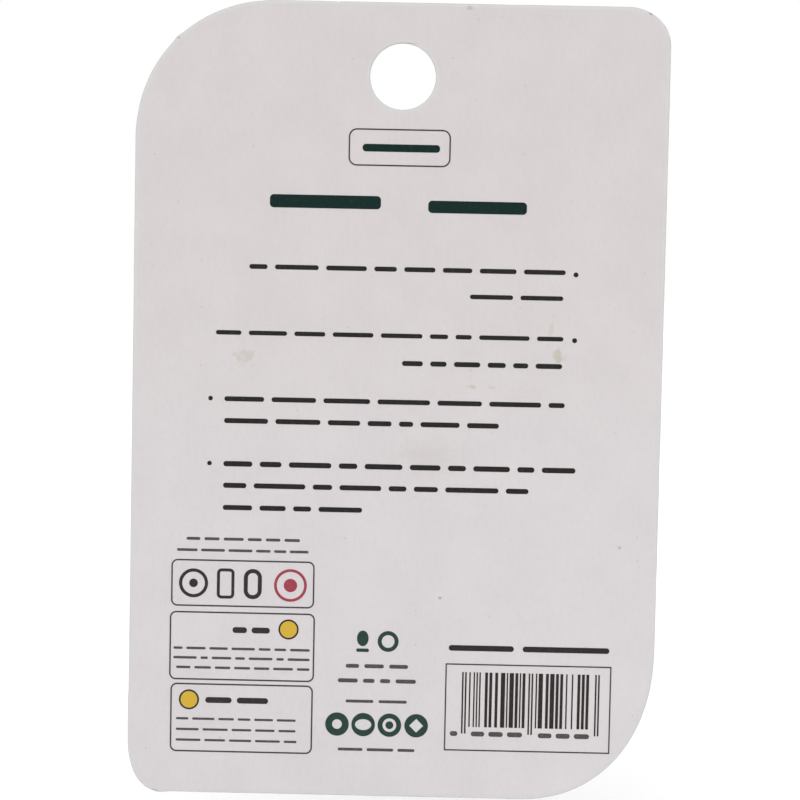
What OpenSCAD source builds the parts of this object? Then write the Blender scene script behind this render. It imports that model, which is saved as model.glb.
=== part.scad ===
// A carded eraser pack: a die-cut hang card, a clear formed bubble sealed to its
// front, and in the bubble a block eraser in a folded paper sleeve.
// It is drawn as it hangs. Z is up, X is across, the card's back face lies on Y = 0
// and looks to -Y, its front and the bubble look to +Y. The origin is the centre of
// the hang hole on the back face.

/* [Card] */
// Width of the card
card_width = 90; // [84:1:120]
// Height of the card
card_height = 135.4; // [110:0.2:180]
// Thickness of the board
board = 0.5; // [0.3:0.05:1.2]
// Radius of the two large corners, top left and bottom right seen from behind
large_corner = 23; // [8:0.5:32]
// Radius of the two small corners
small_corner = 6.7; // [2:0.1:12]

/* [Hang hole] */
// Diameter of the punched hole
hole_diameter = 11.1; // [6:0.1:14]
// Depth of the hole's centre below the card's top edge
hole_drop = 12.4; // [9:0.1:18]

/* [Eraser] */
// Length of the block
eraser_length = 58; // [30:1:64]
// Height of the block as it hangs on the card
eraser_height = 22; // [14:0.5:34]
// Thickness of the block, out from the card
eraser_depth = 12; // [8:0.5:18]
// Radius of the block's four long edges
eraser_edge = 1.2; // [0.4:0.1:3]

/* [Sleeve] */
// Thickness of the sleeve's paper
paper = 0.3; // [0.15:0.05:0.6]
// Length of the sleeve along the block
sleeve_length = 41; // [20:1:56]
// Bare length of the block at its left end, seen from the front
bare_end = 3; // [1:0.5:10]
// Width of the glued lap on the sleeve's back
lap_width = 8; // [4:0.5:12]

/* [Bubble] */
// Thickness of the formed film
film = 0.3; // [0.2:0.05:0.6]
// Room left round the block at the bubble's front edge
bubble_play = 0.4; // [0.2:0.1:2]
// Slope of the bubble's walls, which lets it off the mould
draft_angle = 6; // [2:0.5:12]
// Corner radius of the bubble's front, seen from the front
bubble_corner = 2.2; // [2:0.1:5]
// Radius of the edge between the front and the walls
front_radius = 1.8; // [0.8:0.1:1.9]
// Radius of the bend between the walls and the flange
root_radius = 1; // [0.4:0.1:2]
// Width of the flat flange that is sealed to the card
flange_width = 4; // [2.5:0.5:6]
// Depth of the bubble's centre below the hang hole
bubble_drop = 55; // [45:1:62]

/* [Hidden] */
$fn = 96;

// The sleeve stands on its lap, so two layers of paper are behind the block
block_back = 2 * paper;
sleeve_front = block_back + eraser_depth + paper;

// A square corner of the block needs this much room inside a rounded corner
corner_room = (1 - sqrt(1 / 2)) * (bubble_corner - film);

// Half sizes of the bubble's front, outside, and its height over the card's front
front_half_x = eraser_length / 2 + bubble_play + corner_room + film;
front_half_z = eraser_height / 2 + paper + bubble_play + corner_room + film;
bubble_height = sleeve_front + film;

// The corners turn about these axes
axis_x = front_half_x - bubble_corner;
axis_z = front_half_z - bubble_corner;

// Centres of the two bends in the film's section, as distance from the corner's
// axis and height over the card's front
front_bend = [
  bubble_corner + front_radius * (tan(draft_angle) - 1 / cos(draft_angle)),
  bubble_height - front_radius
];
root_bend = [
  bubble_corner + (bubble_height - film - root_radius) * tan(draft_angle) + root_radius / cos(draft_angle),
  film + root_radius
];
wall_normal = [cos(draft_angle), sin(draft_angle)];
flange_edge = root_bend.x + flange_width;

// Puts what is drawn flat, with Z out of the card's front, upright on the card
module upright() mirror([0, 1, -1]) children();

// A rectangle with its own radius at each corner, from the top right and anticlockwise
module rounded_outline(width, height, radii) {
  side = [[1, 1], [-1, 1], [-1, -1], [1, -1]];
  centre = [for (i = [0:3]) [
    side[i].x * (width / 2 - radii[i]),
    side[i].y * (height / 2 - radii[i])
  ]];
  polygon([for (i = [0:3]) each i % 2 == 0
    ? [centre[i] + [side[i].x * radii[i], 0], centre[i] + [0, side[i].y * radii[i]]]
    : [centre[i] + [0, side[i].y * radii[i]], centre[i] + [side[i].x * radii[i], 0]]
  ]);
  for (i = [0:3])
    translate(centre[i])
      circle(r = radii[i]);
}

// A rounded rectangle drawn as a section, extruded along the block's length
module along_block(from, length) {
  translate([from, -bubble_drop, board])
    rotate([90, 0, 90])
      linear_extrude(length)
        children();
}

module block_section(grow) {
  translate([0, block_back + eraser_depth / 2])
    rounded_outline(eraser_height + 2 * grow, eraser_depth + 2 * grow,
      [for (i = [0:3]) eraser_edge + grow]);
}

// The solid that the film wraps, from the corner's axis outwards, drawn in by inset
module form_section(inset) {
  root_edge = root_bend - (root_radius + inset) * wall_normal;
  front_edge = front_bend + (front_radius - inset) * wall_normal;
  difference() {
    polygon([
      [0, 0],
      [root_bend.x, 0],
      [root_bend.x, film - inset],
      root_edge,
      front_edge,
      [front_bend.x, bubble_height - inset],
      [0, bubble_height - inset]
    ]);
    translate(root_bend)
      circle(r = root_radius + inset);
  }
  translate(front_bend)
    intersection() {
      circle(r = front_radius - inset);
      square(front_radius);
    }
}

module film_section() {
  difference() {
    union() {
      form_section(0);
      square([flange_edge, film]);
    }
    form_section(film);
  }
}

// Carries a section round the bubble: four turned corners and four straight sides
module round_bubble() {
  for (mirror_x = [0, 1], mirror_y = [0, 1])
    mirror([mirror_x, 0, 0])
      mirror([0, mirror_y, 0])
        translate([axis_x, axis_z, 0])
          rotate_extrude(angle = 90)
            children();
  for (mirror_x = [0, 1])
    mirror([mirror_x, 0, 0])
      translate([axis_x, axis_z, 0])
        rotate([90, 0, 0])
          linear_extrude(2 * axis_z)
            children();
  for (mirror_y = [0, 1])
    mirror([0, mirror_y, 0])
      translate([-axis_x, axis_z, 0])
        rotate([90, 0, 90])
          linear_extrude(2 * axis_x)
            children();
}

module backing_card() {
  color("#dad4d4")
    upright()
      difference() {
        translate([0, hole_drop - card_height / 2, 0])
          linear_extrude(board)
            rounded_outline(card_width, card_height,
              [small_corner, large_corner, small_corner, large_corner]);
        translate([0, 0, -board])
          cylinder(d = hole_diameter, h = 3 * board);
      }
}

module blister() {
  color([0.86, 0.92, 0.94, 0.35])
    upright()
      translate([0, -bubble_drop, board]) {
        round_bubble()
          film_section();
        translate([-axis_x, -axis_z, bubble_height - film])
          cube([2 * axis_x, 2 * axis_z, film]);
      }
}

module eraser() {
  color("#f3f2ee")
    upright()
      along_block(-eraser_length / 2, eraser_length)
        block_section(0);
}

module sleeve() {
  color("#24493f")
    upright()
      along_block(eraser_length / 2 - bare_end - sleeve_length, sleeve_length) {
        difference() {
          block_section(paper);
          block_section(0);
        }
        translate([-lap_width / 2, 0])
          square([lap_width, paper]);
      }
}

backing_card();
blister();
eraser();
sleeve();
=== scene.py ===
import math
import random

import bmesh
import bpy
from mathutils import Matrix, Vector, noise


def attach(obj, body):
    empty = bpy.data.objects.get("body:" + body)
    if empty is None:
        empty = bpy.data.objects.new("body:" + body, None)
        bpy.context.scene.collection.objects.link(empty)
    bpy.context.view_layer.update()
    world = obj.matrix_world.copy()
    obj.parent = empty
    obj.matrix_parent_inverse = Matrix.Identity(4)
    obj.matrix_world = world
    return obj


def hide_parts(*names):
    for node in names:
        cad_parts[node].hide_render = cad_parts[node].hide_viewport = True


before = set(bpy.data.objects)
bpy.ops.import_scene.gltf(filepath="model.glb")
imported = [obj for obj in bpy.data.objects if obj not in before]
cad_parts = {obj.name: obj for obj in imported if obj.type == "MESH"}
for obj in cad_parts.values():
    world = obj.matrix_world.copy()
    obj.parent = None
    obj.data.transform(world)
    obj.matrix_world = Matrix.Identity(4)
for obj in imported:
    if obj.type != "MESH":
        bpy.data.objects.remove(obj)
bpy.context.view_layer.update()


# Camera. It looks square at the back of the card from 400 mm, from a little above its middle,
# and is rolled by just over a degree, as in the photograph.
camera_turn = math.radians(0.50)
camera_rise = math.radians(3.98)
camera_roll = math.radians(1.167)
camera_distance = 0.4
camera_aim = Vector((0.00059, 0, -0.0546))
camera_back = Vector((
    math.sin(camera_turn) * math.cos(camera_rise),
    -math.cos(camera_turn) * math.cos(camera_rise),
    math.sin(camera_rise),
))
camera_right = Vector((math.cos(camera_turn), math.sin(camera_turn), 0))
camera_axes = Matrix((camera_right, camera_back.cross(camera_right), camera_back)).transposed()


def add_object(name, data):
    """A new object, put in the scene."""
    thing = bpy.data.objects.new(name, data)
    bpy.context.collection.objects.link(thing)
    return thing


camera = add_object("camera", bpy.data.cameras.new("camera"))
camera.data.sensor_width = 36
camera.data.lens = 105.85
camera.matrix_world = (
    Matrix.Translation(camera_aim + camera_distance * camera_back)
    @ camera_axes.to_4x4()
    @ Matrix.Rotation(camera_roll, 4, "Z")
)
bpy.context.scene.camera = camera
bpy.context.scene.view_settings.view_transform = "Standard"


# Backing card. One piece of grey-backed board, clay-coated on its front, die-cut to an outline
# with two large and two small corners and a punched hang hole. The knife pressed its edge down
# on the back, and the raw core shows on the cut. Every mesh is drawn in millimetres.
card_left, card_right = -45.0, 45.0
card_top, card_bottom = 12.4, -123.0
board = 0.5
hole_radius = 5.55
hole_sides = 96

# Each corner, anticlockwise as seen from behind: side across, side up, reach across, reach up,
# and fullness, which is 2 for an even curve and more for a squarer one
card_corners = [
    (1, 1, 7.2, 6.6, 2.0),
    (-1, 1, 24.0, 23.8, 2.1),
    (-1, -1, 5.4, 8.6, 2.1),
    (1, -1, 22.8, 26.6, 2.18),
]

# Small knocks in the cut edge, and burrs with a negative depth: place across and up, reach
# along the edge, depth
edge_knocks = [
    (41.0, 11.7, 0.9, 0.04),
    (-38.1, 6.0, 0.8, -0.16),
    (-45.0, -110.0, 5.0, -0.09),
    (-39.4, -123.0, 0.9, -0.17),
    (45.0, -66.0, 1.6, 0.05),
    (18.0, 12.4, 1.2, 0.05),
]

# The cut edge as inset from the outline and depth from the back. Its first two bands keep the
# back's finish and its last the front's, and the raw core shows on those between.
cut_section = [(0.75, 0.02), (0.2, 0.04), (0.06, 0.09), (0, 0.17), (0, 0.43), (0.03, 0.48), (0.1, 0.5)]
back_bands, raw_bands = 2, 5

# How far the cut line wanders, and how often in a millimetre
wander_depth, wander_rate = 0.012, 0.35
corner_points_per_mm = 1.9


def card_outline():
    """The outline as pairs of a point and its outward direction, a millimetre or less apart."""
    turns = []
    for k, (across, up, reach_x, reach_z, fullness) in enumerate(card_corners):
        centre_x = (card_right if across > 0 else card_left) - across * reach_x
        centre_z = (card_top if up > 0 else card_bottom) - up * reach_z
        steps = math.ceil(max(reach_x, reach_z) * corner_points_per_mm)
        slope = 2 - 2 / fullness
        turn = []
        for i in range(steps + 1):
            angle = math.radians(90 * i / steps)
            ahead, aside = math.cos(angle), math.sin(angle)
            if k % 2 == 1:
                ahead, aside = aside, ahead
            point = Vector((
                centre_x + across * reach_x * ahead ** (2 / fullness),
                centre_z + up * reach_z * aside ** (2 / fullness),
            ))
            outward = Vector((across * ahead ** slope / reach_x, up * aside ** slope / reach_z))
            turn.append((point, outward.normalized()))
        turns.append(turn)
    outline = []
    for turn, following in zip(turns, turns[1:] + turns[:1]):
        outline += turn
        start, outward = turn[-1]
        end = following[0][0]
        steps = math.ceil((end - start).length)
        outline += [(start.lerp(end, i / steps), outward) for i in range(1, steps)]
    return outline


def worn(outline):
    """The outline as the knife and the shop left it: a little inside the true one, but for burrs."""
    result = []
    for point, outward in outline:
        wander = noise.noise((point.x * wander_rate, point.y * wander_rate, 3.0))
        depth = wander_depth * (1 + wander)
        for knock_x, knock_z, reach, knock in edge_knocks:
            away = math.hypot(point.x - knock_x, point.y - knock_z) / reach
            depth += knock * math.exp(-away * away)
        result.append((point - depth * outward, outward))
    return result


def cut_edge(bm, outline):
    """Rings of faces round one cut edge; gives the two rings that border the flat faces."""
    rings = [
        [bm.verts.new((p.x - inset * out.x, level, p.y - inset * out.y)) for p, out in outline]
        for inset, level in cut_section
    ]
    count = len(outline)
    for k in range(len(rings) - 1):
        for i in range(count):
            j = (i + 1) % count
            face = bm.faces.new((rings[k][i], rings[k][j], rings[k + 1][j], rings[k + 1][i]))
            face.smooth = True
            face.material_index = 0 if k < back_bands else 1 if k < raw_bands else 2
    return rings[0], rings[-1]


def loop_edges(bm, ring):
    """The edges between the points of a closed ring."""
    return [bm.edges.get((a, b)) for a, b in zip(ring, ring[1:] + ring[:1])]


to_metres = Matrix.Scale(0.001, 4)


def make_piece(name, bm, materials):
    """A finished piece from a mesh drawn in millimetres, riding on the one body."""
    bmesh.ops.recalc_face_normals(bm, faces=bm.faces)
    mesh = bpy.data.meshes.new(name)
    bm.to_mesh(mesh)
    bm.free()
    mesh.transform(to_metres)
    for material in materials:
        mesh.materials.append(material)
    piece = add_object(name, mesh)
    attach(piece, "root")
    return piece


def set_inputs(tree, node, inputs):
    """Gives a node its inputs, as values or as the sockets that feed them."""
    for key, value in inputs.items():
        if isinstance(value, bpy.types.NodeSocket):
            tree.links.new(value, node.inputs[key])
        else:
            node.inputs[key].default_value = value


def add_node(tree, kind, inputs=(), **settings):
    """A new node with its settings and its inputs."""
    node = tree.nodes.new(kind)
    for key, value in settings.items():
        setattr(node, key, value)
    set_inputs(tree, node, dict(inputs))
    return node


def new_material(name):
    """A material, its node tree and its shader."""
    material = bpy.data.materials.new(name)
    material.use_nodes = True
    tree = material.node_tree
    return material, tree, tree.nodes["Principled BSDF"]


def printed_colour(red, green, blue):
    """A colour as an image shows it, turned to the light that it reflects."""
    return tuple(
        c / 12.92 if c <= 0.04045 else ((c + 0.055) / 1.055) ** 2.4
        for c in (red / 255, green / 255, blue / 255)
    ) + (1.0,)


def place_of(tree):
    """The place on the pack, in metres."""
    return add_node(tree, "ShaderNodeTexCoord").outputs["Object"]


def axes_of(tree, place):
    """A place as its numbers: X is across, Y out from the card and Z up."""
    return add_node(tree, "ShaderNodeSeparateXYZ", {0: place}).outputs


def maths(tree, operation, *values):
    """The result of one maths node."""
    return add_node(tree, "ShaderNodeMath", dict(enumerate(values)), operation=operation).outputs[0]


def vector_maths(tree, operation, *values):
    """The result of one vector maths node: a number for a length, else a vector."""
    node = add_node(tree, "ShaderNodeVectorMath", dict(enumerate(values)), operation=operation)
    return node.outputs["Value" if operation == "LENGTH" else "Vector"]


def grain(tree, place, scale, detail=2.0, stretch=(1, 1, 1), rough=0.5):
    """Soft noise from about 0.3 to 0.7, stretched along some axes."""
    spread = add_node(tree, "ShaderNodeMapping", {"Vector": place, "Scale": stretch})
    cloud = add_node(tree, "ShaderNodeTexNoise", {
        "Vector": spread.outputs[0], "Scale": scale, "Detail": detail, "Roughness": rough})
    return cloud.outputs[0]


def ramp(tree, value, low, high, to_low=0.0, to_high=1.0):
    """The value from low to high, eased and carried to another range."""
    return add_node(tree, "ShaderNodeMapRange", {
        0: value, 1: low, 2: high, 3: to_low, 4: to_high}, interpolation_type="SMOOTHSTEP").outputs[0]


def blend(tree, amount, a, b):
    """Colour a, going over to colour b by the amount."""
    return add_node(tree, "ShaderNodeMix", {0: amount, 6: a, 7: b}, data_type="RGBA").outputs[2]


def set_finish(tree, surface, colour, roughness, gloss=0.5):
    """Gives a surface its colour, its roughness and how much its plain gloss mirrors."""
    set_inputs(tree, surface, {"Base Color": colour, "Roughness": roughness, "Specular IOR Level": gloss})


def set_relief(tree, surface, height, strength, depth):
    """Gives a surface a fine relief, with its depth in metres."""
    relief = add_node(tree, "ShaderNodeBump", {"Height": height, "Strength": strength, "Distance": depth})
    set_inputs(tree, surface, {"Normal": relief.outputs[0]})


def specks(tree, place, colour, scale, rare, size, strength):
    """Adds dark specks of fibre, one in each cell of a loose pattern that is drawn above rare."""
    axes = axes_of(tree, place)
    face = add_node(tree, "ShaderNodeCombineXYZ", {0: axes["X"], 1: axes["Z"], 2: 0.0})
    cells = add_node(tree, "ShaderNodeTexVoronoi", {
        "Vector": face.outputs[0], "Scale": scale}, voronoi_dimensions="2D")
    near = ramp(tree, cells.outputs["Distance"], size * 0.5, size, strength, 0.0)
    drawn = add_node(tree, "ShaderNodeSeparateColor", {0: cells.outputs["Color"]}).outputs[0]
    amount = maths(tree, "MULTIPLY", near, ramp(tree, drawn, rare, 1.0))
    return blend(tree, amount, colour, (0.30, 0.25, 0.24, 1))


def smudge(tree, place, colour, centre, reach, turn, mark, strength, patchy):
    """Adds an oval mark on the back of the card: a stain, a rub with broken edges, or a line of painted
    shade.
    """
    across, up = centre
    spot = add_node(tree, "ShaderNodeMapping", {
        "Vector": place,
        "Location": (across * 0.001, 0, up * 0.001),
        "Rotation": (0, math.radians(turn), 0),
        "Scale": (reach[0] * 0.001, 1, reach[1] * 0.001),
    }, vector_type="TEXTURE")
    ragged = add_node(tree, "ShaderNodeTexNoise", {"Vector": place, "Scale": 900.0, "Detail": 3.0})
    away = vector_maths(tree, "LENGTH", spot.outputs[0])
    edge = maths(tree, "MULTIPLY_ADD", ragged.outputs[0], patchy, away)
    return blend(tree, ramp(tree, edge, 0.2 + patchy / 2, 1.0 + patchy / 2, strength, 0.0), colour, mark)


def uncoated_back():
    """Pale grey board with a rose cast, a faint cloud and fibre, and the marks of handling; painted lighter
    towards its foot, and with a line of painted shade along the hang hole's top rim.
    """
    material, tree, surface = new_material("uncoated_back")
    place = place_of(tree)
    axes = axes_of(tree, place)
    cloud = ramp(tree, grain(tree, place, 110.0, 3.0), 0.3, 0.7)
    head = blend(tree, cloud, (0.688, 0.643, 0.646, 1), (0.712, 0.667, 0.668, 1))
    # Painted light: the lower part of the back is painted a little lighter than its head, to make up for
    # the shade that falls on it near the floor
    foot_painted_lighter = blend(tree, cloud, (0.708, 0.671, 0.682, 1), (0.732, 0.695, 0.704, 1))
    colour = blend(tree, ramp(tree, axes["Z"], -0.095, 0.005), foot_painted_lighter, head)
    fibre = ramp(tree, grain(tree, place, 1400.0, 2.0, (1, 1, 0.45), 0.6), 0.3, 0.7)
    colour = blend(tree, maths(tree, "MULTIPLY", fibre, 0.10), colour, (0.56, 0.51, 0.52, 1))
    colour = specks(tree, place, colour, 240.0, 0.84, 0.05, 0.26)
    colour = specks(tree, place, colour, 950.0, 0.90, 0.18, 0.10)

    # The pressed rim lies deeper than the flat of the back, and is greyer
    pressed = ramp(tree, axes["Y"], 0.0000205, 0.000028, 0.0, 0.55)
    colour = blend(tree, pressed, colour, (0.690, 0.700, 0.690, 1))

    # Stains, rubs, dust and one line of painted shade: centre, reach, turn in degrees, colour, strength and
    # raggedness
    stain = (0.52, 0.48, 0.46, 1)
    olive = (0.42, 0.40, 0.20, 1)
    dust_and_shade = (0.20, 0.18, 0.18, 1)
    for mark in (
        ((5.6, -64.4), (9.0, 5.0), 0, stain, 0.16, 0.9),
        ((4.6, -63.8), (4.6, 2.4), 12, stain, 0.16, 1.2),
        ((-25.9, -47.8), (2.4, 1.5), 0, olive, 0.26, 3.4),
        ((27.2, -46.6), (1.6, 1.2), 20, olive, 0.42, 3.0),
        ((26.0, -42.2), (0.5, 3.4), 8, olive, 0.22, 2.6),
        ((12.8, -52.1), (0.9, 0.5), 0, olive, 0.45, 2.4),
        ((16.2, -52.1), (0.8, 0.5), 0, olive, 0.36, 2.4),
        ((8.1, -88.4), (0.45, 0.35), 0, dust_and_shade, 0.55, 0.3),
        ((38.6, -79.1), (0.5, 0.4), 0, dust_and_shade, 0.40, 0.3),
        ((11.0, 11.7), (0.8, 0.5), 0, dust_and_shade, 0.30, 0.5),
        ((41.35, 11.35), (0.62, 0.26), 40, dust_and_shade, 0.75, 0.4),
        ((-37.9, 5.8), (0.35, 0.25), 0, dust_and_shade, 0.45, 0.3),
        ((-40.3, -122.75), (1.1, 0.16), 14, dust_and_shade, 0.40, 0.3),
        # Painted shade: a thin dark line along the top rim of the hang hole, where its cut wall faces down
        ((0.4, 5.60), (2.4, 0.13), 0, dust_and_shade, 0.50, 0.2),
    ):
        colour = smudge(tree, place, colour, *mark)
    set_finish(tree, surface, colour, ramp(tree, cloud, 0.0, 1.0, 0.82, 0.92), 0.25)
    set_relief(tree, surface, grain(tree, place, 1800.0, 3.0, (1, 1, 0.5), 0.6), 0.35, 0.00006)
    return material


def cut_core():
    """The raw cut: pressed layers of recycled fibre, a little darker than either face."""
    material, tree, surface = new_material("cut_core")
    place = place_of(tree)
    layers = grain(tree, place, 260.0, 2.0, (1, 40, 1), 0.6)
    dark, light = (0.40, 0.365, 0.345, 1), (0.60, 0.565, 0.54, 1)
    colour = blend(tree, ramp(tree, layers, 0.35, 0.65), dark, light)
    set_finish(tree, surface, colour, ramp(tree, layers, 0.3, 0.7, 0.86, 0.96))
    set_relief(tree, surface, grain(tree, place, 2600.0, 2.0), 0.5, 0.00008)
    return material


def coated_front():
    """Smooth clay coat, printed with a plain green field at the head and a thin line under it."""
    material, tree, surface = new_material("coated_front")
    place = place_of(tree)
    up = axes_of(tree, place)["Z"]
    head_foot, line_foot, foot_top, blur = -0.0258, -0.027, -0.115, 0.00005
    cloud = ramp(tree, grain(tree, place, 240.0, 2.0), 0.3, 0.7)
    white = blend(tree, cloud, (0.834, 0.834, 0.821, 1), (0.838, 0.838, 0.826, 1))
    green = blend(tree, cloud, (0.0105, 0.046, 0.037, 1), (0.0115, 0.050, 0.040, 1))
    leaf = (0.19, 0.42, 0.21, 1)
    colour = blend(tree, ramp(tree, up, line_foot - blur, line_foot + blur), white, leaf)
    colour = blend(tree, ramp(tree, up, head_foot - blur, head_foot + blur), colour, green)
    colour = blend(tree, ramp(tree, up, foot_top - blur, foot_top + blur), green, colour)
    set_finish(tree, surface, colour, ramp(tree, cloud, 0.0, 1.0, 0.25, 0.29), 0.2)
    set_relief(tree, surface, grain(tree, place, 900.0, 2.0), 0.02, 0.00003)
    return material


bm = bmesh.new()
outer_back, outer_front = cut_edge(bm, worn(card_outline()))
hole_outline = []
for i in range(hole_sides):
    angle = -2 * math.pi * i / hole_sides
    direction = Vector((math.cos(angle), math.sin(angle)))
    hole_outline.append((hole_radius * direction, -direction))
hole_back, hole_front = cut_edge(bm, hole_outline)
flats = ((outer_back, hole_back, -1, 0), (outer_front, hole_front, 1, 2))
for rim, hole_rim, side, slot_number in flats:
    filled = bmesh.ops.triangle_fill(
        bm, use_beauty=True, edges=loop_edges(bm, rim) + loop_edges(bm, hole_rim), normal=(0, side, 0))
    for face in filled["geom"]:
        if isinstance(face, bmesh.types.BMFace):
            face.material_index = slot_number
card = make_piece("board_card", bm, [uncoated_back(), cut_core(), coated_front()])
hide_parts("backing_card")


# Print on the back. Lines of words, a bar pattern and headings, as bars of ink: every bar is one
# thin rounded slab, instanced at its place by one tree and stretched to its own length.
ink_depth = 0.03


def new_geometry_tree(name, sockets):
    """A geometry tree, and the sockets that give its inputs of these names and kinds."""
    tree = bpy.data.node_groups.new(name, "GeometryNodeTree")
    for socket, kind in sockets.items():
        tree.interface.new_socket(socket, in_out="INPUT", socket_type="NodeSocket" + kind)
    tree.interface.new_socket("Geometry", in_out="OUTPUT", socket_type="NodeSocketGeometry")
    return tree, add_node(tree, "NodeGroupInput").outputs


def printed_bars_tree():
    """Points carry corner, run and rise; each becomes a rounded bar of ink of that size."""
    tree, given = new_geometry_tree("printed_bars", {
        "Geometry": "Geometry", "Corner sides": "Int", "Ink depth": "Float", "Ink": "Material"})

    def named(name):
        return add_node(tree, "GeometryNodeInputNamedAttribute", {"Name": name}).outputs["Attribute"]

    # A slab of unit radius that lies in the card's plane, turned by half a side, so that no
    # corner of it is on an axis and each knows which quarter it is in
    slab = add_node(tree, "GeometryNodeMeshCylinder", {
        "Vertices": given["Corner sides"], "Radius": 1.0, "Depth": given["Ink depth"]})
    half_side = maths(tree, "DIVIDE", math.pi, given["Corner sides"])
    lie = add_node(tree, "ShaderNodeCombineXYZ", {0: math.pi / 2, 1: half_side, 2: 0.0})
    laid = add_node(tree, "GeometryNodeTransform", {
        "Geometry": slab.outputs["Mesh"], "Rotation": lie.outputs[0]})
    quarter = vector_maths(tree, "SIGN", add_node(tree, "GeometryNodeInputPosition").outputs[0])
    marked = add_node(tree, "GeometryNodeStoreNamedAttribute", {
        "Geometry": laid.outputs[0], "Name": "quarter", "Value": quarter},
        data_type="FLOAT_VECTOR", domain="POINT")

    size = add_node(tree, "ShaderNodeCombineXYZ", {0: named("corner"), 1: 1.0, 2: named("corner")})
    placed = add_node(tree, "GeometryNodeInstanceOnPoints", {
        "Points": given["Geometry"], "Instance": marked.outputs[0], "Scale": size.outputs[0]})
    real = add_node(tree, "GeometryNodeRealizeInstances", {"Geometry": placed.outputs[0]})
    reach = add_node(tree, "ShaderNodeCombineXYZ", {0: named("run"), 1: 0.0, 2: named("rise")})
    side = add_node(tree, "GeometryNodeInputNamedAttribute", {"Name": "quarter"}, data_type="FLOAT_VECTOR")
    stretch = vector_maths(tree, "MULTIPLY", side.outputs["Attribute"], reach.outputs[0])
    stretched = add_node(tree, "GeometryNodeSetPosition", {"Geometry": real.outputs[0], "Offset": stretch})
    inked = add_node(tree, "GeometryNodeSetMaterial", {
        "Geometry": stretched.outputs[0], "Material": given["Ink"]})
    add_node(tree, "NodeGroupOutput", {"Geometry": inked.outputs[0]})
    return tree


def run_tree(piece, tree, values):
    """Runs a tree on a piece with its named inputs, and leaves the plain mesh it made."""
    modifier = piece.modifiers.new(tree.name, "NODES")
    modifier.node_group = tree
    for socket in tree.interface.items_tree:
        if socket.in_out == "INPUT" and socket.name in values:
            modifier[socket.identifier] = values[socket.name]
    bpy.context.view_layer.update()
    evaluated = piece.evaluated_get(bpy.context.evaluated_depsgraph_get())
    mesh = bpy.data.meshes.new_from_object(evaluated)
    piece.modifiers.clear()
    piece.data = mesh
    return mesh


printed_bars = printed_bars_tree()


def print_bars(name, bars, ink, level=ink_depth / 2):
    """Prints bars given as left, right, bottom, top and corner radius, in millimetres."""
    points = bpy.data.meshes.new(name)
    places = [((left + right) / 2, level, (low + high) / 2) for left, right, low, high, corner in bars]
    points.from_pydata(places, [], [])
    sizes = {
        "corner": [corner for left, right, low, high, corner in bars],
        "run": [(right - left) / 2 - corner for left, right, low, high, corner in bars],
        "rise": [(high - low) / 2 - corner for left, right, low, high, corner in bars],
    }
    for key, values in sizes.items():
        points.attributes.new(key, "FLOAT", "POINT").data.foreach_set("value", values)
    piece = add_object(name, points)
    mesh = run_tree(piece, printed_bars, {"Corner sides": 20, "Ink depth": ink_depth, "Ink": ink})
    mesh.transform(to_metres)
    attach(piece, "root")
    return piece


def board_ink(name, colour, worn_by=0.06):
    """Offset ink on rough board: it lies flat, and the fibre shows through it in places."""
    material, tree, surface = new_material(name)
    full = printed_colour(*colour)
    thin = tuple(c + (0.66 - c) * worn_by for c in full[:3]) + (1.0,)
    cover = ramp(tree, grain(tree, place_of(tree), 1500.0, 3.0, rough=0.6), 0.50, 0.75)
    set_finish(tree, surface, blend(tree, cover, full, thin), ramp(tree, cover, 0.0, 1.0, 0.55, 0.85), 0.08)
    return material


def words(seed, left, right, middle, thick, shortest=2.6, longest=9.5, space=1.25):
    """A line of print as rounded bars, one for each word, from its left to its right end."""
    pick = random.Random(seed)
    room = right - left
    lengths = []
    while sum(lengths) + space * len(lengths) < room:
        lengths.append(pick.uniform(shortest, longest))
    fit = (room - space * (len(lengths) - 1)) / sum(lengths)
    bars = []
    for length in lengths:
        bars.append((left, left + length * fit, middle - thick / 2, middle + thick / 2, thick * 0.49))
        left += length * fit + space
    return bars


def dot(across, up, radius):
    """A bar that is as long as it is high, which makes it round."""
    return (across - radius, across + radius, up - radius, up + radius, radius * 0.98)


# The two headings
heading_green = board_ink("heading_green", (18, 42, 40), 0.02)
print_bars("print_headings", [
    (-22.1, -3.3, -22.38, -20.13, 0.7),
    (4.7, 21.4, -22.81, -20.71, 0.7),
], heading_green)

# Four lines set to the right and five to the left, with their bullets
text_grey = board_ink("text_grey", (40, 39, 38), 0.03)
print_bars("print_text", [
    *words(1, -25.4, 28.2, -32.43, 0.82),
    *words(2, 12.1, 27.9, -36.83, 0.78),
    *words(3, -30.9, 28.1, -43.7, 0.77),
    *words(4, 0.8, 28.0, -48.36, 0.86),
    dot(29.95, -32.75, 0.42),
    dot(30.0, -43.9, 0.42),
    *words(5, -29.3, 28.6, -54.99, 0.84),
    *words(6, -29.3, 17.5, -58.72, 0.87),
    *words(7, -29.3, 30.7, -66.09, 0.92),
    *words(8, -29.3, 22.8, -69.8, 0.88),
    *words(9, -29.3, -5.5, -73.6, 0.86),
    dot(-31.65, -54.95, 0.39),
    dot(-31.67, -66.05, 0.39),
], text_grey)

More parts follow.
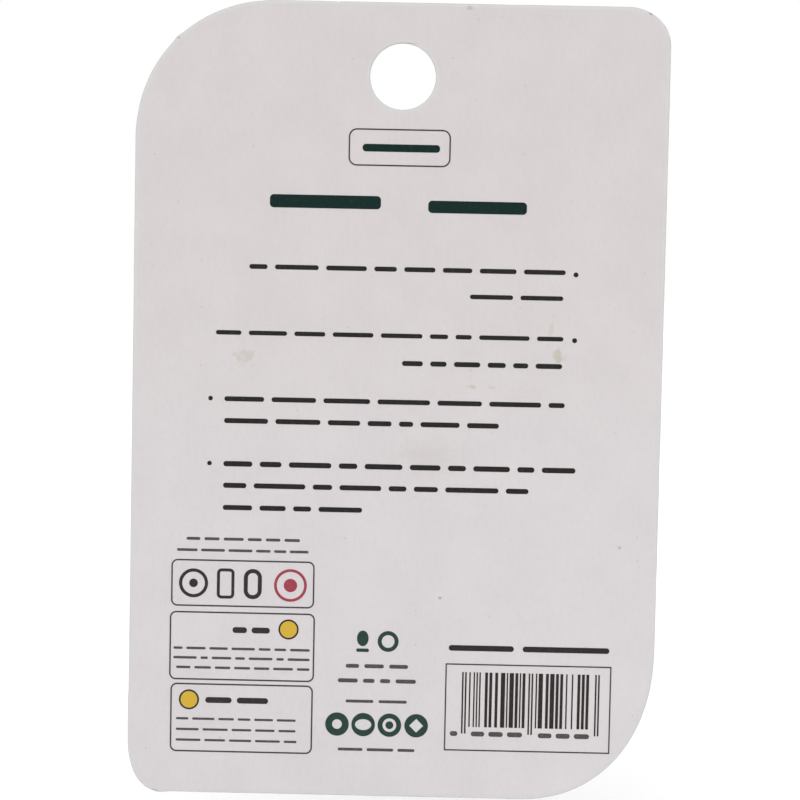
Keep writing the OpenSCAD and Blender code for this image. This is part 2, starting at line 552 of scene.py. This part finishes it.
# Small print: two lines over the frames, the frames' text, and the lines of the middle column
small_grey = board_ink("small_grey", (84, 80, 80), 0.1)
print_bars("print_small_text", [
    *words(11, -35.4, -16.0, -79.04, 0.5, 1.5, 4.0, 0.7),
    *words(12, -37.0, -14.5, -81.0, 0.46, 2.0, 5.0, 0.6),
    *words(14, -37.4, -14.0, -97.95, 0.43, 1.5, 5.0, 0.65),
    *words(15, -37.4, -14.0, -99.6, 0.43, 1.5, 5.0, 0.65),
    *words(16, -36.9, -14.0, -101.28, 0.43, 1.5, 5.0, 0.65),
    *words(18, -36.8, -16.2, -110.19, 0.4, 1.5, 5.0, 0.65),
    *words(19, -36.8, -16.2, -112.04, 0.4, 1.5, 5.0, 0.65),
    *words(20, -36.8, -16.0, -113.89, 0.4, 1.5, 5.0, 0.65),
    *words(21, -7.8, 2.9, -100.44, 0.68, 2.0, 4.0, 0.9),
    *words(22, -9.1, 4.3, -102.98, 0.7, 2.5, 5.0, 0.9),
    *words(23, -7.7, 2.8, -106.55, 0.51, 4.0, 7.0, 0.9),
    *words(24, -8.9, 4.3, -114.93, 0.5, 3.0, 6.0, 0.7),
], small_grey)

# The bar pattern stands for a printed code: its widths are drawn at random and mean nothing
code_black = board_ink("code_black", (50, 45, 44), 0.03)
pick = random.Random(39)
module = 0.247
bar_top, bar_foot, guard_foot, bar_corner = -101.1, -110.6, -111.75, 0.03
code_bars = []
guards = (12.2, 23.6, 35.0)
for guard, following in zip(guards, guards[1:]):
    across = guard + 5 * module
    while across < following - 4 * module:
        near_middle = abs(across - guards[1]) < 5.5
        width = module * pick.choice((1, 2, 3) if near_middle else (1, 1, 2))
        code_bars.append((across, across + width, bar_foot, bar_top, bar_corner))
        across += width + module * pick.choice((1, 1, 2) if near_middle else (1, 2, 3))
for guard in guards:
    for start, end in ((0.0, 1.12), (2.1, 3.22)):
        code_bars.append((guard + start * module, guard + end * module, guard_foot, bar_top, bar_corner))
print_bars("print_code_bars", code_bars, code_black)
print_bars("print_code_line", words(25, 9.8, 37.3, -96.95, 0.98, 9.0, 16.0, 1.5), code_black)
print_bars("print_code_row", [
    *words(31, 10.3, 11.6, -111.8, 0.85),
    *words(32, 13.9, 22.7, -111.8, 0.85, 2.5, 4.0, 0.7),
    *words(33, 25.4, 34.2, -111.85, 0.85, 2.5, 4.0, 0.7),
], small_grey)


# Frames and marks on the back. Thin outlines and small plain shapes in the same inks, with two
# amber marks and a red ring. Each is a slab of ink with a true edge.
def rounded_loop(left, right, low, high, corner, steps=6):
    """A rounded rectangle as points, anticlockwise from the right end of its top right corner."""
    loop = []
    for k, (side_x, side_z) in enumerate(((right, high), (left, high), (left, low), (right, low))):
        centre_x = side_x - corner if side_x == right else side_x + corner
        centre_z = side_z - corner if side_z == high else side_z + corner
        for i in range(steps + 1):
            angle = math.radians(90 * (k + i / steps))
            loop.append((centre_x + corner * math.cos(angle), centre_z + corner * math.sin(angle)))
    return loop


def round_loop(across, up, radius, sides=32, stretch=1.0):
    """A circle as points, or an oval that is stretched upwards."""
    angles = [2 * math.pi * i / sides for i in range(sides)]
    return [(across + radius * math.cos(a), up + stretch * radius * math.sin(a)) for a in angles]


def ink_levels(bm, loop):
    """The loop at the two faces of the ink."""
    return [[bm.verts.new((x, level, z)) for x, z in loop] for level in (0.0, ink_depth)]


def join_rings(bm, one, other):
    """Faces between two closed rings of vertices."""
    for i in range(len(one)):
        j = (i + 1) % len(one)
        bm.faces.new((one[i], one[j], other[j], other[i]))


def ink_band(bm, outside, inside):
    """Ink between two loops with the same number of points."""
    outside_face, outside_board = ink_levels(bm, outside)
    inside_face, inside_board = ink_levels(bm, inside)
    join_rings(bm, outside_face, inside_face)
    join_rings(bm, inside_face, inside_board)
    join_rings(bm, inside_board, outside_board)
    join_rings(bm, outside_board, outside_face)


def ink_field(bm, loop):
    """A filled shape."""
    face, board_side = ink_levels(bm, loop)
    bm.faces.new(face)
    bm.faces.new(list(reversed(board_side)))
    join_rings(bm, face, board_side)


def frame_band(bm, left, right, low, high, corner, stroke):
    """The outline of a rounded rectangle, drawn inwards from its outer edge."""
    inside = (left + stroke, right - stroke, low + stroke, high - stroke, max(corner - stroke, 0.02))
    ink_band(bm, rounded_loop(left, right, low, high, corner), rounded_loop(*inside))


def ring_band(bm, across, up, radius, stroke, sides=32):
    """A ring, drawn inwards from its outer edge."""
    ink_band(bm, round_loop(across, up, radius, sides), round_loop(across, up, radius - stroke, sides))


bm = bmesh.new()
frame_band(bm, -8.95, 8.3, -15.08, -8.78, 1.4, 0.25)
frame_band(bm, -37.93, -13.4, -90.71, -82.61, 1.1, 0.26)
frame_band(bm, -38.08, -13.2, -103.45, -91.59, 1.1, 0.26)
frame_band(bm, -37.81, -13.33, -115.95, -104.03, 1.1, 0.26)
frame_band(bm, 9.32, 37.75, -114.77, -99.64, 0.06, 0.235)
frame_ink = board_ink("frame_ink", (70, 66, 68))
make_piece("print_frames", bm, [frame_ink])

bm = bmesh.new()
ring_band(bm, -34.1, -86.7, 2.5, 0.56)
ink_field(bm, round_loop(-34.1, -86.7, 0.74))
frame_band(bm, -30.1, -27.1, -89.3, -84.1, 0.8, 0.52)
frame_band(bm, -25.5, -22.4, -89.3, -84.1, 1.5, 0.7)
ring_band(bm, -17.7, -94.4, 1.74, 0.3)
ring_band(bm, -34.6, -106.88, 1.74, 0.3)
mark_black = board_ink("mark_black", (56, 50, 50), 0.03)
make_piece("print_marks", bm, [mark_black])
print_bars("print_frame_heads", [
    *words(13, -27.3, -20.9, -94.69, 1.02, 2.0, 3.5, 0.8),
    *words(17, -31.8, -21.0, -106.9, 1.02, 3.0, 6.0, 0.9),
], mark_black)
print_bars("print_head_bar", [(-6.6, 6.5, -12.66, -11.36, 0.6)], heading_green)

bm = bmesh.new()
ring_band(bm, -17.5, -86.8, 2.82, 0.48)
ink_field(bm, round_loop(-17.5, -86.8, 1.15))
make_piece("print_red_ring", bm, [board_ink("ring_red", (163, 68, 83))])

bm = bmesh.new()
ink_field(bm, round_loop(-17.7, -94.4, 1.44))
ink_field(bm, round_loop(-34.6, -106.88, 1.44))
make_piece("print_amber_marks", bm, [board_ink("mark_amber", (215, 178, 65))])

# The middle column's green marks: an oval on a foot, a ring, and four discs with the board
# showing through as a round, an oval, a ring and a lozenge
bm = bmesh.new()
ink_field(bm, round_loop(-4.95, -95.65, 1.0, 32, 1.35))
ring_band(bm, -0.6, -96.1, 1.8, 0.7)
disc_radius, disc_up = 2.03, -110.6
circle = round_loop(0, 0, 1)
lozenge = [(1.2 * x / (abs(x) + abs(z)), 1.2 * z / (abs(x) + abs(z))) for x, z in circle]
for across, opening in (
    (-9.1, round_loop(0, 0, 0.84)),
    (-4.6, [(1.4 * x, 0.95 * z) for x, z in circle]),
    (-0.1, round_loop(0, 0, 1.18)),
    (4.5, lozenge),
):
    hole = [(across + x, disc_up + z) for x, z in opening]
    ink_band(bm, round_loop(across, disc_up, disc_radius), hole)
ink_field(bm, round_loop(-0.1, disc_up, 0.68))
mark_green = board_ink("mark_green", (46, 68, 63), 0.03)
make_piece("print_green_marks", bm, [mark_green])
print_bars("print_mark_foot", [(-6.05, -3.85, -98.0, -97.4, 0.29)], mark_green)


# Print on the front. A bare pale label and a line of words on the green head, three lines and a
# round badge under the bubble, and words on the foot. This ink lies on smooth coat, as even as it.
def coat_ink(name, colour):
    """Offset ink on clay coat, with the coat's own soft gloss."""
    material, tree, surface = new_material(name)
    full = printed_colour(*colour)
    thin = tuple(c + (0.8 - c) * 0.008 for c in full[:3]) + (1.0,)
    cover = ramp(tree, grain(tree, place_of(tree), 700.0, 2.0), 0.4, 0.7)
    set_finish(tree, surface, blend(tree, cover, full, thin), ramp(tree, cover, 0.0, 1.0, 0.27, 0.33), 0.2)
    return material


front_pale = coat_ink("front_pale", (226, 229, 220))
front_leaf = coat_ink("front_leaf", (121, 174, 127))
front_grey = coat_ink("front_grey", (58, 62, 60))
print_bars("front_label", [
    (-24.0, 24.0, -18.4, -12.2, 3.0),
    *words(41, -15.0, 15.0, -22.1, 0.95, 3.0, 8.0, 1.3),
    *words(42, -19.0, 19.0, -119.1, 0.95, 3.0, 8.0, 1.3),
], front_pale, board)
front_line_levels = (-84.0, -90.2, -96.4)
print_bars("front_lines", [
    *words(43, 1.5, 30.4, front_line_levels[0], 1.0),
    *words(44, 6.0, 30.4, front_line_levels[1], 1.0),
    *words(45, -2.0, 30.4, front_line_levels[2], 1.0),
], front_grey, board)
print_bars("front_bullets", [dot(33.2, up, 0.8) for up in front_line_levels], front_leaf, board)

# The badge is a ring round a disc, with three lines of words printed over it
badge_across, badge_up = -24.5, -90.2
bm = bmesh.new()
ring_band(bm, badge_across, badge_up, 9.6, 0.55, 64)
ink_field(bm, round_loop(badge_across, badge_up, 8.5, 64))
bmesh.ops.translate(bm, vec=(0, board - ink_depth / 2, 0), verts=bm.verts)
make_piece("front_badge", bm, [front_leaf])
print_bars("front_badge_words", [
    *words(46, badge_across - 4.4, badge_across + 4.4, badge_up + 2.9, 0.9),
    *words(47, badge_across - 5.9, badge_across + 5.9, badge_up, 1.6, 3.5, 9.5, 1.5),
    *words(48, badge_across - 4.0, badge_across + 4.0, badge_up - 2.9, 0.9),
], front_pale, board + 0.01)


# Bubble. One sheet of clear film, vacuum formed over a block: a flat flange that is heat sealed
# to the card's front, a bend, walls that lean in to leave the mould, and a flat front. Its
# section is carried round four turned corners and four straight sides.
film = 0.3
draft = math.radians(6)
flange_width = 4.0
front_radius = 1.8
root_radius = 1.0
bubble_corner = 2.2
bend_steps = 8
seal_depth = 0.01
bubble_height = 13.2
bubble_drop = 55.0
bubble_play = 0.4
# The block and the paper of its sleeve, which the bubble follows
eraser_length, eraser_height, eraser_depth = 58.0, 22.0, 12.0
paper = 0.3
# A square corner of the block needs this much room inside a rounded corner of the bubble
corner_room = (1 - math.sqrt(0.5)) * (bubble_corner - film)
front_half_x = eraser_length / 2 + bubble_play + corner_room + film
front_half_z = eraser_height / 2 + paper + bubble_play + corner_room + film


def film_section():
    """Points of the section as distance from the corner's axis and height over the board."""
    front_x = bubble_corner + front_radius * (math.tan(draft) - 1 / math.cos(draft))
    front_y = bubble_height - front_radius
    root_y = film + root_radius
    root_x = bubble_corner + (bubble_height - root_y) * math.tan(draft) + root_radius / math.cos(draft)

    def bend(centre_x, centre_y, reach, start, turn):
        angles = [start + i / bend_steps * turn for i in range(bend_steps + 1)]
        return [(centre_x + reach * math.cos(a), centre_y + reach * math.sin(a)) for a in angles]

    def side(inset):
        return [
            (0.0, bubble_height - inset),
            *bend(front_x, front_y, front_radius - inset, math.pi / 2, draft - math.pi / 2),
            *bend(root_x, root_y, root_radius + inset, math.pi + draft, math.pi / 2 - draft),
            (root_x + flange_width, film - inset),
        ]

    # The flange's underside is pressed a little into the coat, so that no gap shows under it
    inside = [(x, y if y > 2 * seal_depth else -seal_depth) for x, y in side(film)]
    return side(0) + list(reversed(inside))


def formed_film_tree(corner_steps, section_points):
    """Carries a section, given as points in order, round a rectangle's corners and sides."""
    tree, given = new_geometry_tree("formed_film", {
        "Section": "Geometry", "Axis across": "Float", "Axis up": "Float", "Level": "Float",
        "Drop": "Float", "Film": "Material"})
    position = add_node(tree, "GeometryNodeInputPosition").outputs[0]

    def section_point(row_number):
        """The section's point of a row: X is its distance from the corner's axis, Y its height."""
        place = add_node(tree, "GeometryNodeSampleIndex", {
            "Geometry": given["Section"], "Value": position, "Index": row_number},
            data_type="FLOAT_VECTOR", domain="POINT")
        return axes_of(tree, place.outputs[0])

    # The grid's columns are the stations round the bubble and its rows are the section's points
    stations = 4 * (corner_steps + 1)
    grid = add_node(tree, "GeometryNodeMeshGrid", {
        "Size X": float(stations), "Size Y": float(section_points - 1),
        "Vertices X": stations + 1, "Vertices Y": section_points})
    axes = axes_of(tree, position)
    station = maths(tree, "ROUND", maths(tree, "ADD", axes["X"], stations / 2))
    row = maths(tree, "ROUND", maths(tree, "ADD", axes["Y"], (section_points - 1) / 2))

    quarter = maths(tree, "FLOOR", maths(tree, "DIVIDE", station, corner_steps + 1.0))
    step = maths(tree, "MODULO", station, corner_steps + 1.0)
    turned = maths(tree, "ADD", quarter, maths(tree, "DIVIDE", step, float(corner_steps)))
    angle = maths(tree, "MULTIPLY", turned, math.pi / 2)
    diagonal = maths(tree, "MULTIPLY", maths(tree, "ADD", quarter, 0.5), math.pi / 2)
    section = section_point(row)

    def carried(axis, direction):
        """How far the row's point is from the bubble's middle, along one axis."""
        way = maths(tree, "SIGN", maths(tree, direction, diagonal))
        from_axis = maths(tree, "MULTIPLY", maths(tree, direction, angle), section["X"])
        return maths(tree, "MULTIPLY_ADD", way, given[axis], from_axis)

    where = add_node(tree, "ShaderNodeCombineXYZ", {
        0: carried("Axis across", "COSINE"),
        1: maths(tree, "ADD", section["Y"], given["Level"]),
        2: maths(tree, "SUBTRACT", carried("Axis up", "SINE"), given["Drop"])})
    walls = add_node(tree, "GeometryNodeSetPosition", {
        "Geometry": grid.outputs["Mesh"], "Position": where.outputs[0]})

    # Two plates between the corner axes close the front, outside and inside
    def front_plate(row_number):
        plate = add_node(tree, "GeometryNodeMeshGrid", {
            "Size X": maths(tree, "MULTIPLY", given["Axis across"], 2.0),
            "Size Y": maths(tree, "MULTIPLY", given["Axis up"], 2.0),
            "Vertices X": 2, "Vertices Y": 2})
        level = maths(tree, "ADD", section_point(row_number)["Y"], given["Level"])
        move = add_node(tree, "ShaderNodeCombineXYZ", {
            0: 0.0, 1: level, 2: maths(tree, "MULTIPLY", given["Drop"], -1.0)})
        return add_node(tree, "GeometryNodeTransform", {
            "Geometry": plate.outputs["Mesh"], "Translation": move.outputs[0],
            "Rotation": (math.pi / 2, 0, 0)}).outputs[0]

    joined = add_node(tree, "GeometryNodeJoinGeometry")
    for part in (walls.outputs[0], front_plate(0), front_plate(section_points - 1)):
        tree.links.new(part, joined.inputs[0])
    whole = add_node(tree, "GeometryNodeMergeByDistance", {
        "Geometry": joined.outputs[0], "Distance": 0.002})
    smooth = add_node(tree, "GeometryNodeSetShadeSmooth", {"Geometry": whole.outputs[0]})
    clear = add_node(tree, "GeometryNodeSetMaterial", {
        "Geometry": smooth.outputs[0], "Material": given["Film"]})
    add_node(tree, "NodeGroupOutput", {"Geometry": clear.outputs[0]})
    return tree


def film_edges(tree, place):
    """0 on the flat front of the bubble, going over to 1 on its bends, walls and flange."""
    axes = axes_of(tree, place)
    over_middle = maths(tree, "ADD", axes["Z"], bubble_drop * 0.001)
    past = []
    for along, half in ((axes["X"], front_half_x), (over_middle, front_half_z)):
        reach = maths(tree, "ABSOLUTE", along)
        past.append(maths(tree, "SUBTRACT", reach, (half - bubble_corner) * 0.001))
    return ramp(tree, maths(tree, "MAXIMUM", *past), 0.0, 0.0012)


def clear_film():
    """Film that mirrors more as it is seen edge on, and is rubbed on its bends."""
    material, tree, surface = new_material("clear_film")
    place = place_of(tree)
    edges = film_edges(tree, place)
    wave = add_node(tree, "ShaderNodeBump", {
        "Height": grain(tree, place, 75.0, 1.0), "Strength": 0.25, "Distance": 0.0006})
    edge_on = add_node(tree, "ShaderNodeLayerWeight", {"Blend": 0.5, "Normal": wave.outputs[0]})
    fifth = maths(tree, "POWER", edge_on.outputs["Facing"], 5.0)
    mirror_share = maths(tree, "MULTIPLY_ADD", fifth, 0.88, maths(tree, "MULTIPLY", edges, 0.016))
    deep = ramp(tree, edge_on.outputs["Facing"], 0.45, 0.97)
    tint = blend(tree, deep, (0.988, 0.992, 0.990, 1), (0.66, 0.73, 0.74, 1))
    through = add_node(tree, "ShaderNodeBsdfTransparent", {"Color": tint})
    mirror = add_node(tree, "ShaderNodeBsdfGlossy", {
        "Color": (1, 1, 1, 1), "Roughness": 0.06, "Normal": wave.outputs[0]})
    film_mix = add_node(tree, "ShaderNodeMixShader", {
        0: mirror_share, 1: through.outputs[0], 2: mirror.outputs[0]})
    scratched = ramp(tree, grain(tree, place, 520.0, 4.0, (1, 1, 0.3), 0.7), 0.50, 0.80, 0.0, 0.03)
    scuff = maths(tree, "MULTIPLY", edges, scratched)
    set_inputs(tree, surface, {"Base Color": (0.86, 0.88, 0.88, 1), "Roughness": 0.4})
    whole = add_node(tree, "ShaderNodeMixShader", {
        0: scuff, 1: film_mix.outputs[0], 2: surface.outputs[0]})
    set_inputs(tree, tree.nodes["Material Output"], {"Surface": whole.outputs[0]})
    return material


section = film_section()
section_mesh = bpy.data.meshes.new("film_bubble")
section_mesh.from_pydata([(x, y, 0) for x, y in section], [], [])
bubble = add_object("film_bubble", section_mesh)
bubble_mesh = run_tree(bubble, formed_film_tree(10, len(section)), {
    "Axis across": front_half_x - bubble_corner,
    "Axis up": front_half_z - bubble_corner,
    "Level": board,
    "Drop": bubble_drop,
    "Film": clear_film(),
})
bm = bmesh.new()
bm.from_mesh(bubble_mesh)
bmesh.ops.recalc_face_normals(bm, faces=bm.faces)
bm.to_mesh(bubble_mesh)
bm.free()
bubble_mesh.transform(to_metres)
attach(bubble, "root")
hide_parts("blister")


# Eraser. One block of white vinyl, extruded and cut to length, so its long edges are rounded
# and its two cut ends are nearly sharp. It lies loose in the bubble.
eraser_edge = 1.2
# The block and its sleeve stand this far off the film, so that no two faces coincide
film_gap = 0.005
block_back = board + 2 * paper - film_gap
block_middle = block_back + eraser_depth / 2


def block_loop(grow, steps=6):
    """The block's section as points up and out, grown or shrunk all round."""
    half_z, half_y = eraser_height / 2 + grow, eraser_depth / 2 + grow
    loop = rounded_loop(-half_z, half_z, -half_y, half_y, eraser_edge + grow, steps)
    return [(z - bubble_drop, y + block_middle) for z, y in loop]


def white_vinyl():
    """Matte white vinyl with a soft glow inside it, fine powdery grain and faint handling marks."""
    material, tree, surface = new_material("white_vinyl")
    place = place_of(tree)
    cloud = ramp(tree, grain(tree, place, 90.0, 4.0), 0.3, 0.7)
    colour = blend(tree, cloud, (0.85, 0.84, 0.80, 1), (0.90, 0.89, 0.855, 1))
    scuff = ramp(tree, grain(tree, place, 300.0, 4.0, (0.4, 1, 1), 0.7), 0.6, 0.8, 0.0, 0.12)
    colour = blend(tree, scuff, colour, (0.62, 0.60, 0.57, 1))
    set_finish(tree, surface, colour, ramp(tree, cloud, 0.0, 1.0, 0.5, 0.62))
    set_relief(tree, surface, grain(tree, place, 1600.0, 3.0), 0.25, 0.00005)
    set_inputs(tree, surface, {
        "Subsurface Weight": 0.15, "Subsurface Radius": (1.0, 0.9, 0.8), "Subsurface Scale": 0.0012})
    return material


bm = bmesh.new()
# A cut end as depth from the end and growth of the section
end_section = [(0.0, -0.45), (0.05, -0.2), (0.16, -0.06), (0.35, 0.0)]
stations = [(-eraser_length / 2 + along, grow) for along, grow in end_section]
stations += [(-along, grow) for along, grow in reversed(stations)]
rings = [[bm.verts.new((x, y, z)) for z, y in block_loop(grow)] for x, grow in stations]
for one, other in zip(rings, rings[1:]):
    join_rings(bm, one, other)
for ring in (rings[0], rings[-1]):
    bm.faces.new(ring)
for face in bm.faces:
    face.smooth = len(face.verts) == 4
block = make_piece("vinyl_block", bm, [white_vinyl()])
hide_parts("eraser")


# Sleeve. One strip of dark green paper, creased round the block and glued where its ends lap on
# the back. Its cut edges show the white of the paper.
sleeve_left, sleeve_right = -15.0, 26.0
lap_half = 4.0
# The strip's inner end, and where its outer end steps over that end, from the lap's middle
inner_end, step_start, step_end = -3.7, -4.9, -4.1


def strip_path(steps=5):
    """The middle of the strip's thickness, from its inner end round the block to its lap."""
    half_z, half_y = eraser_height / 2, eraser_depth / 2
    reach = eraser_edge + paper / 2
    inner_y = -half_y - paper / 2
    path = [(inner_end, inner_y)]
    for k, (side_z, side_y) in enumerate(((1, -1), (1, 1), (-1, 1), (-1, -1))):
        centre_z = side_z * (half_z - eraser_edge)
        centre_y = side_y * (half_y - eraser_edge)
        for i in range(steps + 1):
            angle = math.radians(-90 + 90 * (k + i / steps))
            path.append((centre_z + reach * math.cos(angle), centre_y + reach * math.sin(angle)))
    path += [(step_start, inner_y), (step_end, inner_y - paper), (lap_half, inner_y - paper)]
    return [Vector((z - bubble_drop, y + block_middle)) for z, y in path]


def sleeve_bar(tree, place, left, right, middle, thick):
    """1 inside a bar with round ends, given in millimetres, and 0 outside it."""
    radius, blur = thick / 2000, 0.00003
    away = vector_maths(tree, "SUBTRACT", place, ((left + right) / 2000, 0, middle / 1000))
    away = vector_maths(tree, "ABSOLUTE", away)
    away = vector_maths(tree, "SUBTRACT", away, ((right - left) / 2000 - radius, 1, 0))
    away = vector_maths(tree, "MAXIMUM", away, (0, 0, 0))
    return ramp(tree, vector_maths(tree, "LENGTH", away), radius - blur, radius + blur, 1.0, 0.0)


def green_paper():
    """Dark green paper, printed to its cut edges with stripes, a bare label and words, and rubbed."""
    material, tree, surface = new_material("green_paper")
    place = place_of(tree)
    across = axes_of(tree, place)["X"]
    cloud = ramp(tree, grain(tree, place, 160.0, 3.0), 0.3, 0.7)
    colour = blend(tree, cloud, (0.013, 0.056, 0.045, 1), (0.018, 0.070, 0.057, 1))
    pale = (0.62, 0.66, 0.60, 1)
    # Stripes: middle and half width, in metres
    for middle, half in ((-0.0112, 0.0006), (-0.0092, 0.00025), (0.0222, 0.0006), (0.0202, 0.00025)):
        away = maths(tree, "ABSOLUTE", maths(tree, "SUBTRACT", across, middle))
        colour = blend(tree, ramp(tree, away, half, half + 0.00005, 1.0, 0.0), colour, pale)
    # The label and the words: left, right, middle and thickness, in millimetres
    for bar in (
        (-4.5, 15.5, -52.6, 5.4),
        (-3.0, 2.6, -58.1, 0.9), (3.8, 8.2, -58.1, 0.9), (9.4, 14.0, -58.1, 0.9),
        (-0.2, 5.6, -60.6, 0.9), (6.8, 11.2, -60.6, 0.9),
    ):
        colour = blend(tree, sleeve_bar(tree, place, *bar), colour, pale)
    rub = ramp(tree, grain(tree, place, 900.0, 3.0, (0.3, 1, 1), 0.7), 0.62, 0.8, 0.0, 0.25)
    colour = blend(tree, rub, colour, (0.09, 0.15, 0.13, 1))
    set_finish(tree, surface, colour, ramp(tree, cloud, 0.0, 1.0, 0.36, 0.42), 0.2)
    set_relief(tree, surface, grain(tree, place, 800.0, 2.0), 0.03, 0.00004)
    return material


def paper_edge():
    """The white of the sleeve's paper, on its cut edges and inside it."""
    material, tree, surface = new_material("paper_edge")
    fibre = ramp(tree, grain(tree, place_of(tree), 1800.0, 2.0), 0.3, 0.7)
    colour = blend(tree, fibre, (0.70, 0.69, 0.66, 1), (0.82, 0.81, 0.78, 1))
    set_finish(tree, surface, colour, ramp(tree, fibre, 0.0, 1.0, 0.8, 0.9))
    return material


# The two faces of the strip lie to either side of its path
path = strip_path()
ways = [(b - a).normalized() for a, b in zip(path, path[1:])]
turns = [(a + b).normalized() for a, b in zip(ways[:1] + ways, ways + ways[-1:])]
outside_line = [p + paper / 2 * Vector((turn.y, -turn.x)) for p, turn in zip(path, turns)]
inside_line = [p - paper / 2 * Vector((turn.y, -turn.x)) for p, turn in zip(path, turns)]
bm = bmesh.new()
ends = []
for x in (sleeve_left, sleeve_right):
    ends.append([[bm.verts.new((x, p.y, p.x)) for p in line] for line in (outside_line, inside_line)])
(left_out, left_in), (right_out, right_in) = ends
for i in range(len(path) - 1):
    j = i + 1
    printed = bm.faces.new((left_out[i], left_out[j], right_out[j], right_out[i]))
    plain = bm.faces.new((left_in[i], right_in[i], right_in[j], left_in[j]))
    plain.material_index = 1
    printed.smooth = plain.smooth = True
    for out, inner in ((left_out, left_in), (right_out, right_in)):
        bm.faces.new((out[i], inner[i], inner[j], out[j])).material_index = 1
for i in (0, -1):
    bm.faces.new((left_out[i], right_out[i], right_in[i], left_in[i])).material_index = 1
sleeve = make_piece("paper_sleeve", bm, [green_paper(), paper_edge()])
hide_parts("sleeve")


# Stage. A pale floor just under the card, plain soft lamps on both sides of it, and a white
# surround that lights it evenly.
floor_level = -0.138
floor_half = 4


def seen_strength(tree, hidden, seen):
    """Gives seen to what the camera or a mirror looks at, and hidden to plain falling light."""
    rays = add_node(tree, "ShaderNodeLightPath").outputs
    shows = maths(tree, "MAXIMUM", rays["Is Camera Ray"], rays["Is Glossy Ray"])
    shows = maths(tree, "MAXIMUM", shows, rays["Is Transmission Ray"])
    return add_node(tree, "ShaderNodeMapRange", {0: shows, 3: hidden, 4: seen}).outputs[0]


bm = bmesh.new()
lowered = Matrix.Translation((0, 0, floor_level))
bmesh.ops.create_grid(bm, x_segments=1, y_segments=1, size=floor_half, matrix=lowered)
floor_mesh = bpy.data.meshes.new("floor")
bm.to_mesh(floor_mesh)
bm.free()
floor = add_object("floor", floor_mesh)
material, tree, surface = new_material("pale_floor")
set_inputs(tree, surface, {
    "Base Color": (0.88, 0.88, 0.88, 1), "Roughness": 0.9, "Specular IOR Level": 0.1,
    "Emission Color": (1, 1, 1, 1), "Emission Strength": seen_strength(tree, 0.0, 0.15)})
floor_mesh.materials.append(material)

world = bpy.data.worlds.new("surround")
world.use_nodes = True
bpy.context.scene.world = world
tree = world.node_tree
set_inputs(tree, tree.nodes["Background"], {
    "Color": (1, 1, 1, 1), "Strength": seen_strength(tree, 0.55, 1.0)})


def soft_sun(name, place, strength, spread):
    """A wide, even lamp that shines from a place towards the card."""
    lamp = add_object(name, bpy.data.lights.new(name, "SUN"))
    lamp.data.energy = strength
    lamp.data.angle = math.radians(spread)
    lamp.location = place
    lamp.rotation_euler = Vector(place).to_track_quat("Z", "Y").to_euler()


soft_sun("lamp_behind", (-0.1, -0.8, 0.75), 1.18, 55)
soft_sun("lamp_front", (0.5, 0.8, 0.75), 1.08, 55)

# A long strip over the front that only mirrors show: it draws bright lines along the film's bends
strip = add_object("strip_lamp", bpy.data.lights.new("strip_lamp", "AREA"))
strip.data.shape = "RECTANGLE"
strip.data.size = 2.4
strip.data.size_y = 0.1
strip.data.energy = 40.0
strip.visible_camera = False
strip.visible_diffuse = False
strip.location = (0, 0.62, 0.6)
from_bubble = strip.location - Vector((0, 0, -bubble_drop / 1000))
strip.rotation_euler = from_bubble.to_track_quat("Z", "Y").to_euler()
